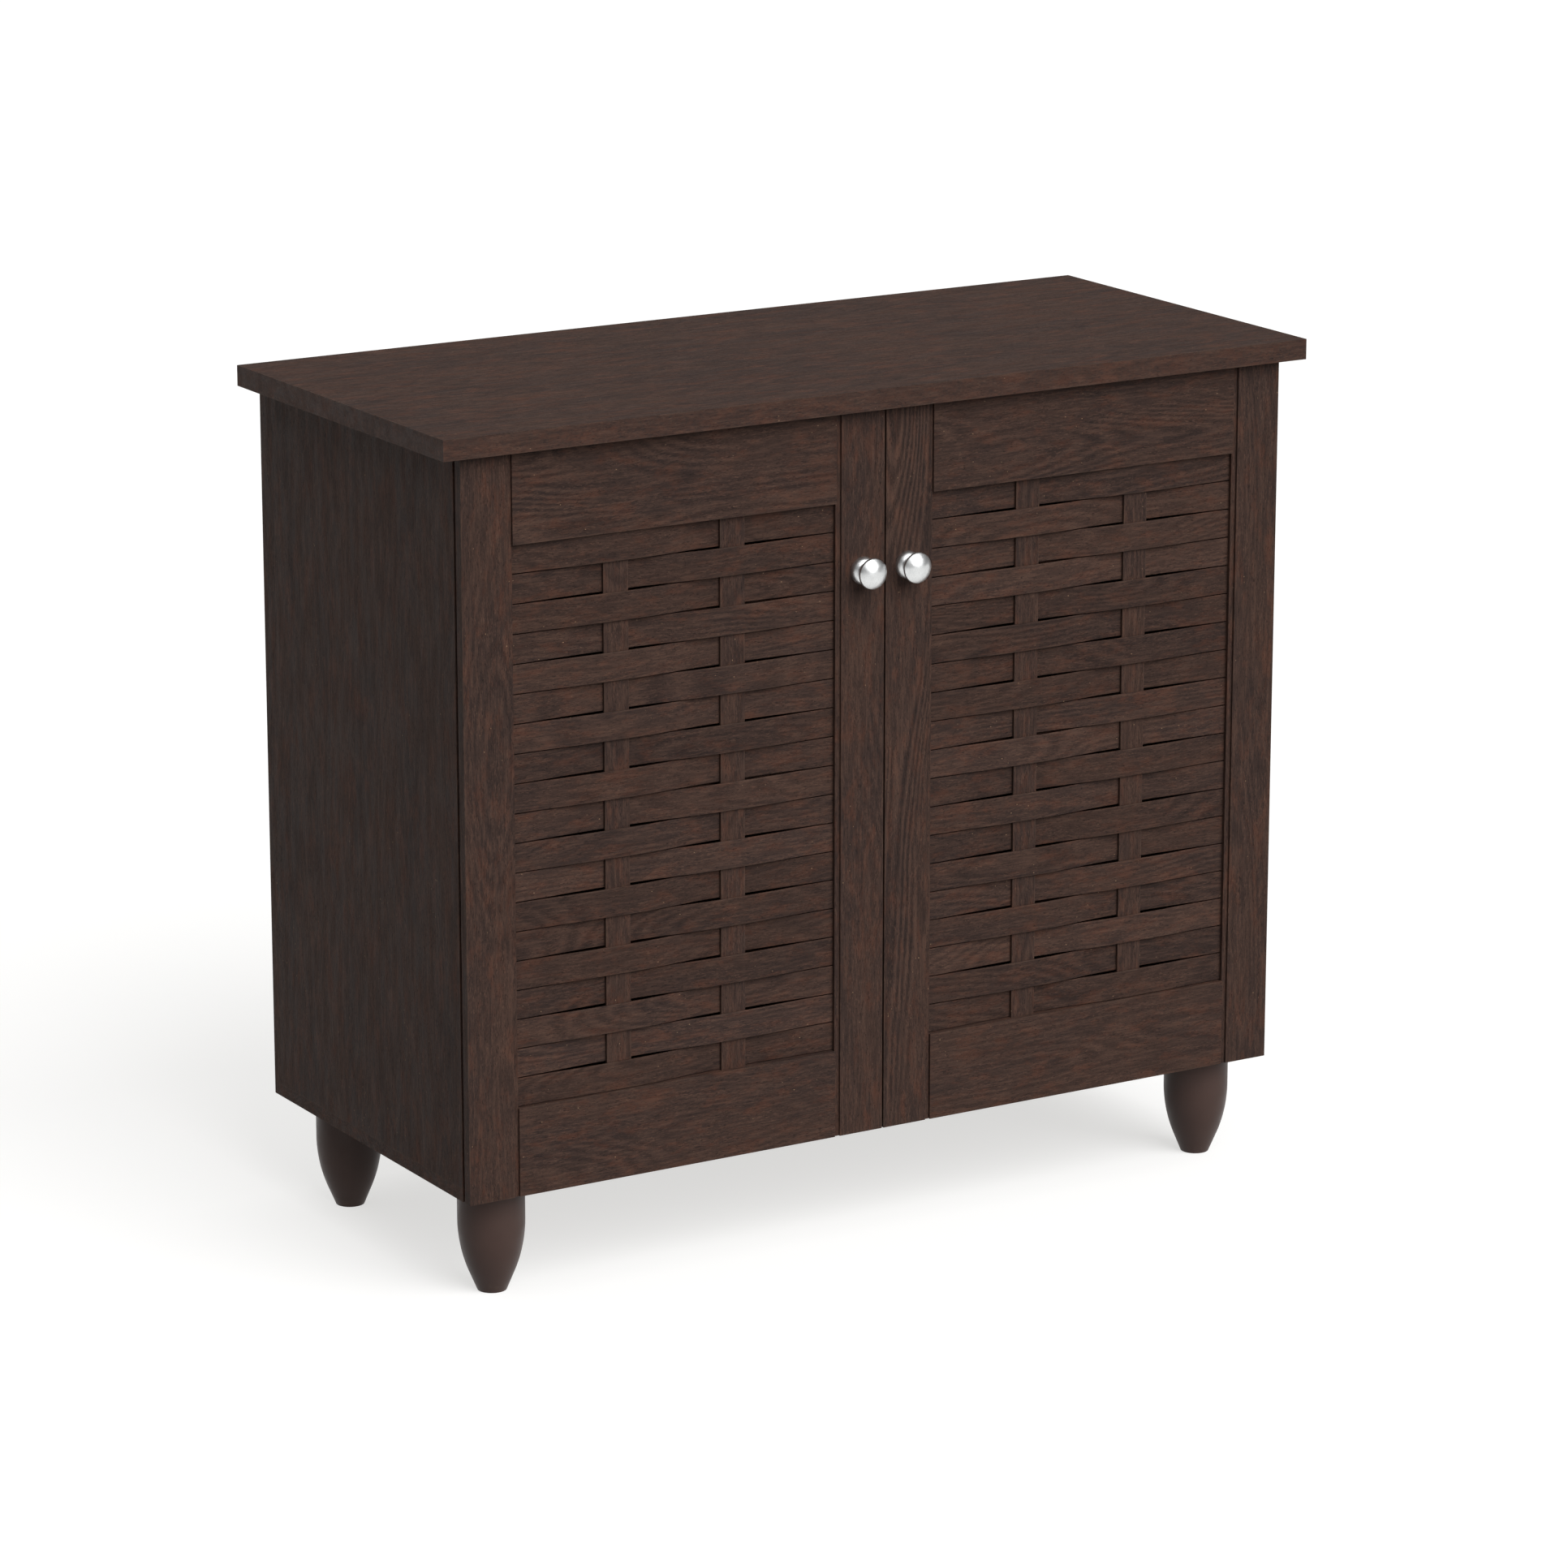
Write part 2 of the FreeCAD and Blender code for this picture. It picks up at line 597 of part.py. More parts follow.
def add_left_hinges():
    """Returns each node's left piece by its name, and the cutters for the side and the stile."""
    pieces = {}
    inside = "(cup_radius - cup_wall)"
    mouth = ("cup_mid_x", "door_back_y", "hinge_z")
    shell = rod("cup_shell", "cup_radius", "cup_depth", mouth, FORWARD)
    wing_x = ("cup_mid_x - wing_width / 2", "cup_mid_x + wing_width / 2")
    wing_y = ("door_back_y", "door_back_y + wing_thickness")
    wing_z = ("hinge_z - wing_length / 2", "hinge_z + wing_length / 2")
    wings = box("cup_wings", wing_x, wing_y, wing_z)
    hollow_start = ("cup_mid_x", f"door_back_y + {CUT_PAST}", "hinge_z")
    hollow_length = f"cup_depth - cup_wall + {CUT_PAST}"
    hollow = rod("cup_hollow", inside, hollow_length, hollow_start, FORWARD)
    open_cup = cut("open_cup", fuse("cup_blank", [shell, wings]), [hollow])
    cheek_x = ("-side_x", "pin_x + cheek_reach")
    cheek_y = ("door_back_y - cup_depth", "pin_y + cheek_reach")
    cheeks = []
    for sign in ("+", "-"):
        ends = (f"hinge_z {sign} cheek_low", f"hinge_z {sign} cheek_high")
        cheek_z = ends if sign == "+" else ends[::-1]
        block = box("cheek_block", cheek_x, cheek_y, cheek_z)
        cheeks.append(common("cheek", [block, rod("cheek_round", "cup_radius", "cup_depth", mouth, FORWARD)]))
    pin_start = ("pin_x", "pin_y", "hinge_z - hinge_pin_half")
    pin_hole = rod("cheek_hole", "hinge_pin_radius", "2 * hinge_pin_half", pin_start)
    cup = cut("hinge_cup", fuse("cup_with_cheeks", [open_cup, *cheeks]), [pin_hole])
    pieces["hinge_cups"] = both_hinges("left_cups", cup)
    pin = rod("hinge_pin", "hinge_pin_radius", "2 * hinge_pin_half", pin_start)
    pieces["hinge_pins"] = both_hinges("left_hinge_pin_pair", pin)

    # arm: from its knuckle into the cup's mouth, then bent back along the mounting plate
    near = "pin_y - arm_metal / 2"
    far = "pin_y + arm_metal / 2"
    outer = "arm_x + arm_metal"
    tail = "carcass_y + plate_front + plate_length"
    strap = extruded(
        "arm_strap",
        [
            ("pin_x", near),
            (f"{outer} - arm_bend", near, "x", f"{outer} - arm_bend"),
            (outer, f"{near} + arm_bend"),
            (outer, tail),
            ("arm_x", tail),
            ("arm_x", f"{near} + arm_bend", "y", f"{near} + arm_bend"),
            (f"{outer} - arm_bend", far),
            ("pin_x", far),
        ],
        "arm_width",
        "hinge_z - arm_width / 2",
    )
    knuckle_start = ("pin_x", "pin_y", "hinge_z - arm_width / 2")
    knuckle = rod("arm_knuckle", "knuckle_radius", "arm_width", knuckle_start)
    knuckle_hole = rod("knuckle_hole", "hinge_pin_radius + hole_play", "arm_width", knuckle_start)
    screw_y = "carcass_y + plate_front + plate_length / 2"
    arm_hole_start = ("arm_x", screw_y, "hinge_z")
    arm_hole = rod("arm_hole", "screw_radius + hole_play", "2 * arm_metal", arm_hole_start, ACROSS)
    arm = cut("hinge_arm", fuse("arm_blank", [strap, knuckle]), [knuckle_hole, arm_hole])
    pieces["hinge_arms"] = both_hinges("left_arms", arm)

    # mounting plate, with a raised middle for the arm and two wings for its screws
    plate_y = ("carcass_y + plate_front", "carcass_y + plate_front + plate_length")
    middle_z = ("hinge_z - plate_middle_width / 2", "hinge_z + plate_middle_width / 2")
    middle = box("plate_middle", ("plate_x", "arm_x"), plate_y, middle_z)
    wings_y = (f"{screw_y} - plate_wing_width / 2", f"{screw_y} + plate_wing_width / 2")
    wings_z = ("hinge_z - plate_span / 2", "hinge_z + plate_span / 2")
    wings = box("plate_wings", ("plate_x", "plate_x + plate_wing"), wings_y, wings_z)
    wing_face = "plate_x + plate_wing"
    wing_places = [(wing_face, screw_y, f"hinge_z {sign} plate_screw") for sign in "+-"]
    arm_place = [("arm_x + arm_metal", screw_y, "hinge_z")]
    bore = rod("small_screw_bore", "screw_radius + hole_play", "screw_length + hole_play")
    bores = copies("plate_bore", bore, wing_places, LEFT)
    tap = rod("arm_screw_bore", "screw_radius + hole_play", "plate_height + arm_metal")
    taps = copies("plate_tap", tap, arm_place, LEFT)
    plate = cut("hinge_plate", fuse("plate_blank", [middle, wings]), [*bores, *taps])
    pieces["hinge_plates"] = both_hinges("left_plates", plate)

    head = ("screw_head_radius", "screw_head")
    wing_screw = pan_headed("wing_screw", "screw_radius", *head, "screw_length")
    screws = copies("plate_screw", wing_screw, wing_places, LEFT)
    arm_screw = pan_headed("arm_screw", "screw_radius", *head, "plate_height + arm_metal")
    screws += copies("arm_screw", arm_screw, arm_place, LEFT)
    pieces["hinge_plate_screws"] = both_hinges("left_plate_screws", group("lower_screws", screws))
    lower_bores = group("lower_bores", copies("side_plate_bore", bore, wing_places, LEFT))
    side_cutters = [both_hinges("left_plate_bores", lower_bores)]

    # screws through the cup's wings into the stile
    wing_back = "door_back_y + wing_thickness"
    places = [("cup_mid_x", wing_back, f"hinge_z {sign} wing_screw") for sign in "+-"]
    cup_head = ("cup_screw_head_radius", "cup_screw_head")
    screw = pan_headed("cup_screw", "cup_screw_radius", *cup_head, "cup_screw_length")
    lower = group("lower_cup_screws", copies("cup_screw", screw, places, FORWARD))
    pieces["cup_screws"] = both_hinges("left_cup_screw_set", lower)
    bore = rod("cup_screw_bore", "cup_screw_radius + hole_play", "cup_screw_length + hole_play")
    wing_bores = group("lower_cup_bores", copies("cup_screw_bore", bore, places, FORWARD))
    screw_bores = both_hinges("left_cup_screw_bores", wing_bores)
    recess = rod("cup_recess", "cup_radius + hole_play", "cup_depth + hole_play", mouth, FORWARD)
    stile_cutters = [both_hinges("left_cup_recesses", recess), screw_bores]
    pieces["hinge_cups"] = cut("drilled_cups", pieces["hinge_cups"], [screw_bores])
    return pieces, side_cutters, stile_cutters


# ---- doors: the left one, and its images ----


def stile_corners(edge, sign, chamfer):
    """Plan of a stile: its outer edge at x = edge, and its lip and groove on the side of sign."""

    def x(text):
        return f"{edge} {sign} ({text})"

    groove = "(weave_thickness / 2 + groove_play)"
    corners = [
        (x("0"), "door_front_y"),
        (x("stile - lip"), "door_front_y"),
        (x("stile - lip"), "door_front_y + lip_drop"),
        (x("stile"), "door_front_y + lip_drop"),
        (x("stile"), f"weave_y - {groove}"),
        (x("stile - groove_depth"), f"weave_y - {groove}"),
        (x("stile - groove_depth"), f"weave_y + {groove}"),
        (x("stile"), f"weave_y + {groove}"),
        (x("stile"), "door_back_y"),
    ]
    if chamfer:
        return [*corners, (x("stile_chamfer"), "door_back_y"), (x("0"), "door_back_y - stile_chamfer")]
    return [*corners, (x("0"), "door_back_y")]


def slat_corners(first):
    """Plan of a slat that passes the outer batten on the side of sign first, - in front, + behind."""
    second = "+" if first == "-" else "-"
    half = "batten / 2"
    outer = "door_mid_x - batten_offset"
    inner = "door_mid_x + batten_offset"
    stations = [
        ("weave_left_x - tongue", "weave_y"),
        ("weave_left_x", "weave_y"),
        (f"{outer} - {half}", f"weave_y {first} weave_wave"),
        (f"{outer} + {half}", f"weave_y {first} weave_wave"),
        (f"{inner} - {half}", f"weave_y {second} weave_wave"),
        (f"{inner} + {half}", f"weave_y {second} weave_wave"),
        ("weave_right_x", "weave_y"),
        ("weave_right_x + tongue", "weave_y"),
    ]
    front = []
    back = []
    for number, (start, end) in enumerate(zip(stations, stations[1:])):
        bends = number % 2 == 1
        if bends:
            middle = [f"(({a}) + ({b})) / 2" for a, b in zip(start, end)]
            front.append((start[0], f"{start[1]} - weave_thickness / 2", "x", start[0]))
            front.append((middle[0], f"{middle[1]} - weave_thickness / 2", "x", end[0]))
            back.append((middle[0], f"{middle[1]} + weave_thickness / 2", "x", start[0]))
            back.append((end[0], f"{end[1]} + weave_thickness / 2", "x", end[0]))
        else:
            front.append((start[0], f"{start[1]} - weave_thickness / 2"))
            back.append((end[0], f"{end[1]} + weave_thickness / 2"))
    left_end = stations[0]
    right_end = stations[-1]
    front.append((right_end[0], f"{right_end[1]} - weave_thickness / 2"))
    back.insert(0, (left_end[0], f"{left_end[1]} + weave_thickness / 2"))
    return [*front, *back[::-1]]


def slat_set(name, first, row, rows):
    """Every second slat, from the numbered row down, as separate strips of one shape."""
    top = f"weave_high_z - {row} * slat_pitch - slat_gap / 2"
    body = extruded(name, slat_corners(first), "slat_pitch - slat_gap", f"{top} - slat_pitch + slat_gap")
    pattern = body.newObject("PartDesign::LinearPattern", f"{name}_rows")
    pattern.Originals = [body.Tip]
    pattern.Direction = (origin_plane(body, "Z_Axis"), [""])
    pattern.Reversed = True
    pattern.Occurrences = rows
    bind(pattern, Length=f"{2 * (rows - 1)} * slat_pitch")
    body.Tip = pattern
    return body


def rail_piece(name, low, weave_edge):
    """A rail with a stub tenon at each end, and a mortise for each batten in its weave edge."""
    z = (low, f"{low} + rail")
    core = box(f"{name}_core", ("weave_left_x", "weave_right_x"), ("door_front_y", "door_back_y"), z)
    tenon_x = ("weave_left_x - tongue", "weave_right_x + tongue")
    tenon_y = ("weave_y - weave_thickness / 2", "weave_y + weave_thickness / 2")
    tenons = box(f"{name}_tenons", tenon_x, tenon_y, z)
    mortises = []
    for sign in "-+":
        middle = f"door_mid_x {sign} batten_offset"
        x = (f"{middle} - batten / 2 - groove_play", f"{middle} + batten / 2 + groove_play")
        y = (f"{tenon_y[0]} - groove_play", f"{tenon_y[1]} + groove_play")
        depth = (f"{weave_edge} - groove_depth", f"{weave_edge} + groove_depth")
        mortises.append(box(f"{name}_mortise", x, y, depth))
    return cut(name, fuse(f"{name}_blank", [core, tenons]), mortises)


def knob_piece():
    """Mushroom knob: a domed foot, a narrow neck and a domed head, with a threaded hole."""
    bore = "knob_screw_radius + hole_play"
    bore_end = "knob_screw_bite + knob_screw_room"
    profile = [
        (bore, "0"),
        ("knob_foot_radius", "0"),
        ("knob_foot_radius", "knob_foot_edge", "y", "knob_foot_edge"),
        ("knob_neck_radius", "knob_foot_top"),
        ("knob_neck_radius", "knob_neck_top", "x", "knob_neck_radius"),
        ("knob_head_radius", "knob_rim_low"),
        ("knob_head_radius", "knob_rim_high", "x", "0"),
        ("0", "knob_reach"),
        ("0", bore_end),
        (bore, bore_end),
    ]
    return revolved("left_knob_body", profile, ("knob_x", "door_front_y", "knob_height"), FORWARD)


def add_left_door(stile_cutters):
    """Returns each node's left piece by its name."""
    pieces = {}
    length = "door_top_z - leg_height"
    plan = stile_corners("-side_x", "+", chamfer=True)
    stile = extruded("outer_stile_blank", plan, length, "leg_height")
    pieces["outer_stile"] = cut("outer_stile", stile, stile_cutters)

    plan = stile_corners("meeting_x", "-", chamfer=False)
    stile = extruded("inner_stile_blank", plan, length, "leg_height")
    hole_start = ("knob_x", f"door_back_y + {CUT_PAST}", "knob_height")
    hole_length = f"board + 2 * {CUT_PAST}"
    hole = rod("knob_hole", "knob_screw_radius + hole_play", hole_length, hole_start, FORWARD)
    pieces["inner_stile"] = cut("inner_stile", stile, [hole])

    pieces["top_rail"] = rail_piece("top_rail", "weave_high_z", "weave_high_z")
    pieces["bottom_rail"] = rail_piece("bottom_rail", "leg_height", "weave_low_z")

    rows = int(value("slat_rows"))
    pieces["odd_slats"] = slat_set("odd_slats", "-", 0, (rows + 1) // 2)
    pieces["even_slats"] = slat_set("even_slats", "+", 1, rows // 2)
    batten_y = ("weave_y - weave_thickness / 2", "weave_y + weave_thickness / 2")
    batten_z = ("weave_low_z - tongue", "weave_high_z + tongue")
    for name, sign in (("outer_batten", "-"), ("inner_batten", "+")):
        middle = f"door_mid_x {sign} batten_offset"
        x = (f"{middle} - batten / 2", f"{middle} + batten / 2")
        pieces[name] = box(name, x, batten_y, batten_z)

    pieces["knob"] = knob_piece()
    head = ("knob_screw_head_radius", "knob_screw_head")
    screw = pan_headed("knob_screw", "knob_screw_radius", *head, "board + knob_screw_bite")
    pieces["knob_screw"] = put(screw, ("knob_x", "door_back_y", "knob_height"), FORWARD)
    return pieces


def add_both(pieces):
    for name, piece in pieces.items():
        left = node(f"left_{name}", piece)
        node(f"right_{name}", mirrored(f"right_{name}", left))


def write_parts():
    doc.recompute()
    for thing in doc.Objects:
        if {"Invalid", "Error"} & set(thing.State):
            raise RuntimeError(f"{thing.Name} failed: {thing.State}")
    for piece in nodes:
        if piece.Shape.isNull() or not piece.Shape.isValid() or not piece.Shape.Solids:
            raise RuntimeError(f"{piece.Label} has no valid solid")
    os.makedirs("parts", exist_ok=True)
    for piece in nodes:
        piece.Shape.exportStep(f"parts/{piece.Label}.step")
    print(f"{len(nodes)} parts written")


hinge_pieces, hinge_side_cutters, hinge_stile_cutters = add_left_hinges()
side, bottom, top, back = add_carcass_hardware()
bottom += add_legs()
add_carcass(side + hinge_side_cutters, bottom, top, back)
add_both(hinge_pieces)
add_both(add_left_door(hinge_stile_cutters))
write_parts()
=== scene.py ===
import math

import bpy
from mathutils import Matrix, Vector


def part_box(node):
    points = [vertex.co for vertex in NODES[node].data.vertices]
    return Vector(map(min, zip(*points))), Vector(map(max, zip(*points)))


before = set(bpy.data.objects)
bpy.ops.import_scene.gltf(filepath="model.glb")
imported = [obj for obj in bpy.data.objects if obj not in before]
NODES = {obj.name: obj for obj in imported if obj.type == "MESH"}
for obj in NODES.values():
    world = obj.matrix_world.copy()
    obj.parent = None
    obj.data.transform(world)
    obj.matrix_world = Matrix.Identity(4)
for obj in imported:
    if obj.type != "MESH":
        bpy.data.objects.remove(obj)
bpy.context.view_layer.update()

# The cabinet in metres, in the frame's own axes: X to the right, Y to the back, Z up.
# CAD nodes keep their shapes. Here they get eased edges, materials, a floor, lights and a camera.

MM = 0.001
SLAT_ROWS = 19

# bevel widths
BOARD_EDGE = 0.6 * MM
FRAME_EDGE = 0.35 * MM
SLAT_EDGE = 0.6 * MM
SHARP_ANGLE = 40  # degrees, where an edge gets a bevel

# weld distances, to close the seams in a CAD mesh and the facets at a turned tip
SEAM = 0.01 * MM
TIP = 0.05 * MM

# how strongly growth rings show: 0 is none
FIGURED = {"right_inner_stile": 1.6, "left_top_rail": 1.2, "right_top_rail": 1.0}
DOOR_FIGURE = 0.7
SLAT_FIGURE = 0.9
OUTER_BOARD_FIGURE = 0.5
INNER_BOARD_FIGURE = 0.8
FIRST_DOOR_SEED = 20


# ---- shader graphs ----


class Graph:
    """A material's nodes, added by short calls that return sockets."""

    def __init__(self, name, slot_colour):
        self.material = bpy.data.materials.new(name)
        self.material.use_nodes = True
        self.material.diffuse_color = (*slot_colour, 1)
        self.tree = self.material.node_tree
        self.shader = self.tree.nodes["Principled BSDF"]

    def add(self, kind, inputs=None, **settings):
        node = self.tree.nodes.new(kind)
        for key, value in settings.items():
            setattr(node, key, value)
        for key, value in (inputs or {}).items():
            self.set(node.inputs[key], value)
        return node

    def set(self, socket, value):
        if isinstance(value, bpy.types.NodeSocket):
            self.tree.links.new(value, socket)
        else:
            socket.default_value = value

    def surface(self, **inputs):
        for key, value in inputs.items():
            self.set(self.shader.inputs[key.replace("_", " ")], value)

    def math(self, operation, *values):
        node = self.add("ShaderNodeMath", dict(enumerate(values)), operation=operation)
        return node.outputs[0]

    def vector(self, operation, *values):
        node = self.add("ShaderNodeVectorMath", dict(enumerate(values)), operation=operation)
        return node.outputs[0]

    def noise(self, place, scale, detail=2.0, roughness=0.5):
        inputs = {"Vector": place, "Scale": scale, "Detail": detail, "Roughness": roughness}
        return self.add("ShaderNodeTexNoise", inputs).outputs["Fac"]

    def ease(self, value, low, high, start=0.0, end=1.0):
        """Smooth step of value, from start at low to end at high."""
        inputs = {"Value": value, "From Min": low, "From Max": high, "To Min": start, "To Max": end}
        node = self.add("ShaderNodeMapRange", inputs, interpolation_type="SMOOTHSTEP")
        return node.outputs["Result"]

    def blend(self, share, first, second):
        """Mixes two colours, by the second one's share."""
        node = self.add("ShaderNodeMix", data_type="RGBA", blend_type="MIX")
        self.set(node.inputs["Factor"], share)
        colours = [s for s in node.inputs if s.type == "RGBA"]
        self.set(colours[0], first)
        self.set(colours[1], second)
        return next(s for s in node.outputs if s.type == "RGBA")

    def bump(self, height, distance, strength):
        inputs = {"Height": height, "Distance": distance, "Strength": strength}
        return self.add("ShaderNodeBump", inputs).outputs["Normal"]

    def place(self):
        """The shaded point in the node's own metres, which move with its body."""
        return self.add("ShaderNodeTexCoord").outputs["Object"]

    def parts(self, place):
        """The X, Y and Z of a vector."""
        return self.add("ShaderNodeSeparateXYZ", {"Vector": place}).outputs


def colour(red, green, blue):
    return (red, green, blue, 1.0)


def edge_distance(graph, place, low, high, pitch=None, gap=0.0):
    """Distance from the nearest edge of a block, on its surface.

    With a pitch, the block is a stack of strips, each a pitch less a gap high.
    """
    depths = []
    for letter, socket in zip("XYZ", graph.parts(place)):
        number = "XYZ".index(letter)
        if pitch and letter == "Z":
            drop = graph.math("SUBTRACT", high[number] + gap / 2, socket)
            turn = graph.math("MODULO", drop, pitch)
            from_top = graph.math("SUBTRACT", turn, gap / 2)
            from_bottom = graph.math("SUBTRACT", pitch - gap / 2, turn)
            depths.append(graph.math("MINIMUM", from_top, from_bottom))
            continue
        from_low = graph.math("SUBTRACT", socket, low[number])
        from_high = graph.math("SUBTRACT", high[number], socket)
        depths.append(graph.math("MINIMUM", from_low, from_high))
    smaller = graph.math("MINIMUM", depths[0], depths[1])
    larger = graph.math("MAXIMUM", depths[0], depths[1])
    return graph.math("MAXIMUM", smaller, graph.math("MINIMUM", larger, depths[2]))


UMBER = colour(0.0370, 0.0245, 0.0215)
BROWN = colour(0.0500, 0.0300, 0.0240)
RED_BROWN = colour(0.0900, 0.0380, 0.0250)
FIBRE = colour(0.1400, 0.0780, 0.0560)
PORE = colour(0.0120, 0.0090, 0.0088)
FLECK = colour(0.3800, 0.2400, 0.1450)
# a paler brown: the painted edge highlight on the oak, scuffs on the legs and cloudy tone on the
# fibreboard
PALE_WEAR_AND_HIGHLIGHT = colour(0.0950, 0.0620, 0.0470)


class Grain:
    """A wood piece's own place in an endless board, with its grain along X or Z.

    strips is (pitch, gap) where the node is a stack of slats, each cut from elsewhere.
    """

    def __init__(self, graph, node, along, seed, strips=None):
        self.graph = graph
        self.along = "XYZ".index(along)
        self.low, self.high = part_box(node)
        self.strips = strips
        self.place = graph.place()
        shift = (seed * 1.37, seed * 0.71, seed * 2.13)
        moved = graph.vector("ADD", self.place, shift)
        self.tone = None
        if strips:
            pitch, gap = strips
            drop = graph.math("SUBTRACT", self.high.z + gap / 2, graph.parts(self.place)[2])
            row = graph.math("FLOOR", graph.math("DIVIDE", drop, pitch))
            station = graph.math("ADD", row, seed)
            own = graph.add("ShaderNodeTexWhiteNoise", {"W": station}, noise_dimensions="1D")
            jump = graph.vector("MULTIPLY", own.outputs["Color"], (3, 3, 3))
            moved = graph.vector("ADD", moved, jump)
            self.tone = own.outputs["Value"]
        self.moved = moved
        # the fibres wander to and fro as they run
        self.moved = graph.vector("ADD", moved, self.wander(0.17, 0.060, 0.009))
        self.moved = graph.vector("ADD", self.moved, self.wander(0.045, 0.016, 0.0016))
        self.moved = graph.vector("ADD", self.moved, self.wander(0.011, 0.005, 0.0007))

    def wander(self, length, width, reach):
        graph = self.graph
        inputs = {"Vector": self.scaled(length, width), "Scale": 1.0, "Detail": 1.0}
        field = graph.add("ShaderNodeTexNoise", inputs).outputs["Color"]
        sway = [reach] * 3
        sway[self.along] = 0.0
        centred = graph.vector("SUBTRACT", field, (0.5, 0.5, 0.5))
        return graph.vector("MULTIPLY", centred, tuple(sway))

    def scaled(self, length, width):
        """The place, scaled so that a feature is about that long and wide, in metres."""
        scales = [1 / width] * 3
        scales[self.along] = 1 / length
        return self.graph.vector("MULTIPLY", self.moved, tuple(scales))

    def noise(self, length, width, detail=2.0, roughness=0.5):
        return self.graph.noise(self.scaled(length, width), 1.0, detail, roughness)

    def edge(self):
        pitch_and_gap = self.strips or (None, 0.0)
        return edge_distance(self.graph, self.place, self.low, self.high, *pitch_and_gap)


def oak(name, node, along, seed, figure=1.0, strips=None, banded=False):
    """Dark stained oak: figure, streaks, pores, flecks and a painted highlight along the edges.

    A banded board has a redder, short-grained strip glued along its upright edges.
    """
    graph = Graph(name, BROWN[:3])
    grain = Grain(graph, node, along, seed, strips)

    # slow drift of colour over the board, and reddish patches
    drift = graph.ease(grain.noise(0.20, 0.040, 3.0, 0.6), 0.34, 0.66)
    red = graph.ease(grain.noise(0.036, 0.012, 4.0, 0.72), 0.47, 0.70)

    # growth rings, faint, where the cut meets them
    rings = graph.math("SINE", graph.math("MULTIPLY", grain.noise(0.30, 0.050, 0.0), 120.0))
    ring_zone = graph.ease(grain.noise(0.14, 0.045, 1.0), 0.40, 0.60, 0.15, figure)
    late_ring = graph.math("MULTIPLY", graph.ease(rings, 0.0, 1.0), ring_zone)
    early_ring = graph.math("MULTIPLY", graph.ease(rings, 0.0, -1.0), ring_zone)

    # fibres, coarse and fine
    coarse = graph.ease(grain.noise(0.026, 0.0022, 3.0, 0.66), 0.42, 0.68)
    fine = grain.noise(0.0050, 0.0009, 3.0, 0.74)
    fibre_zone = graph.ease(grain.noise(0.05, 0.012, 2.0), 0.34, 0.64, 0.30, 1.0)
    fibre = graph.math("MULTIPLY", graph.ease(fine, 0.50, 0.70), fibre_zone)
    pore = graph.ease(grain.noise(0.0042, 0.0009, 3.0, 0.68), 0.54, 0.68)

    # a few bright open pores, gathered in patches
    cell = graph.add("ShaderNodeTexVoronoi", {"Vector": grain.scaled(0.0062, 0.0034), "Scale": 1.0})
    chance = graph.parts(cell.outputs["Color"])[0]
    near = graph.ease(cell.outputs["Distance"], 0.05, 0.14, 1.0, 0.0)
    fleck_zone = graph.ease(grain.noise(0.08, 0.025, 2.0), 0.46, 0.62)
    rare = graph.math("GREATER_THAN", chance, 0.86)
    fleck = graph.math("MULTIPLY", graph.math("MULTIPLY", near, rare), fleck_zone)

    base = graph.blend(drift, UMBER, BROWN)
    base = graph.blend(graph.math("MULTIPLY", red, 0.66), base, RED_BROWN)
    base = graph.blend(graph.math("MULTIPLY", coarse, 0.28), base, FIBRE)
    base = graph.blend(graph.math("MULTIPLY", late_ring, 0.25), base, PORE)
    base = graph.blend(graph.math("MULTIPLY", early_ring, 0.14), base, FIBRE)
    base = graph.blend(graph.math("MULTIPLY", fibre, 0.52), base, FIBRE)
    base = graph.blend(graph.math("MULTIPLY", pore, 0.62), base, PORE)
    base = graph.blend(graph.math("MULTIPLY", fleck, 0.80), base, FLECK)
    if banded:
        facing = graph.parts(graph.add("ShaderNodeTexCoord").outputs["Normal"])[2]
        strip = graph.ease(graph.math("ABSOLUTE", facing), 0.5, 0.8, 0.22, 0.0)
        mottle = graph.ease(grain.noise(0.0050, 0.0030, 3.0, 0.7), 0.38, 0.60)
        base = graph.blend(graph.math("MULTIPLY", strip, mottle), base, RED_BROWN)
    if grain.tone:
        tone = graph.ease(grain.tone, 0.0, 1.0, 0.90, 1.12)
        grey = graph.add("ShaderNodeCombineXYZ", {"X": tone, "Y": tone, "Z": tone}).outputs[0]
        base = graph.vector("MULTIPLY", base, grey)
    # painted highlight: a paler colour within about 1.6 mm of every edge, and of each slat's top
    # and bottom, broken into patches, stands in for light catching the eased edges
    highlight_patches = graph.ease(grain.noise(0.03, 0.01, 3.0, 0.6), 0.35, 0.70)
    edge_highlight = graph.math("MULTIPLY", graph.ease(grain.edge(), 0.0002, 0.0016, 1.0, 0.0), highlight_patches)
    base = graph.blend(graph.math("MULTIPLY", edge_highlight, 0.45), base, PALE_WEAR_AND_HIGHLIGHT)

    height = graph.math("SUBTRACT", graph.math("MULTIPLY", fine, 0.6), pore)
    rough = graph.ease(grain.noise(0.05, 0.01, 3.0), 0.3, 0.7, 0.44, 0.56)
    graph.surface(
        Base_Color=base,
        Roughness=graph.math("ADD", rough, graph.math("MULTIPLY", pore, 0.12)),
        Specular_IOR_Level=0.06 if banded else 0.035,
        Normal=graph.bump(height, 0.00012, 0.6),
    )
    return graph.material


